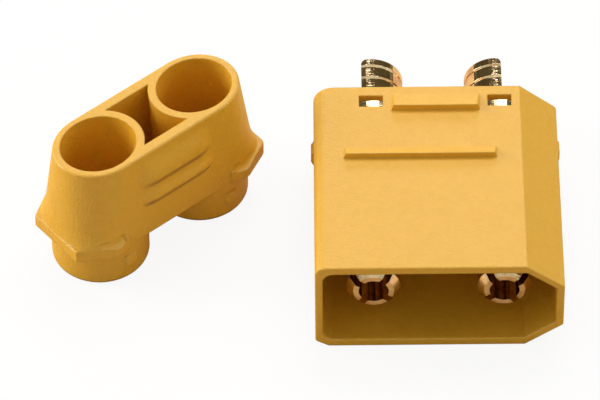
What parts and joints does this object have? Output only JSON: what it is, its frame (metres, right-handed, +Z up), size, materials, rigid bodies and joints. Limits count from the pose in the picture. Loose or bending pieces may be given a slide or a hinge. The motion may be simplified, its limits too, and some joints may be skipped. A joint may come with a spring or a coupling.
{
  "type": "battery connector",
  "caption": "Two-pole high-current battery plug with split round pins in a keyed housing, and its rear insulating sheath standing beside it.",
  "frame": {"origin": "middle of the flat underside of the housing, which lies on its side", "axes": "+X across the two poles towards the keyed end, +Y from the mouth to the solder cups, +Z up from the surface that it lies on"},
  "size_m": [0.0445, 0.0259, 0.0128],
  "materials": {
    "amber_nylon": "fine moulded grain",
    "gold_plating": "polished gold plate on turned brass"
  },
  "bodies": {
    "root": {"housing": "amber_nylon", "contact_pin_left": "gold_plating", "contact_pin_right": "gold_plating", "rear_sheath": "amber_nylon"}
  },
  "joints": []
}
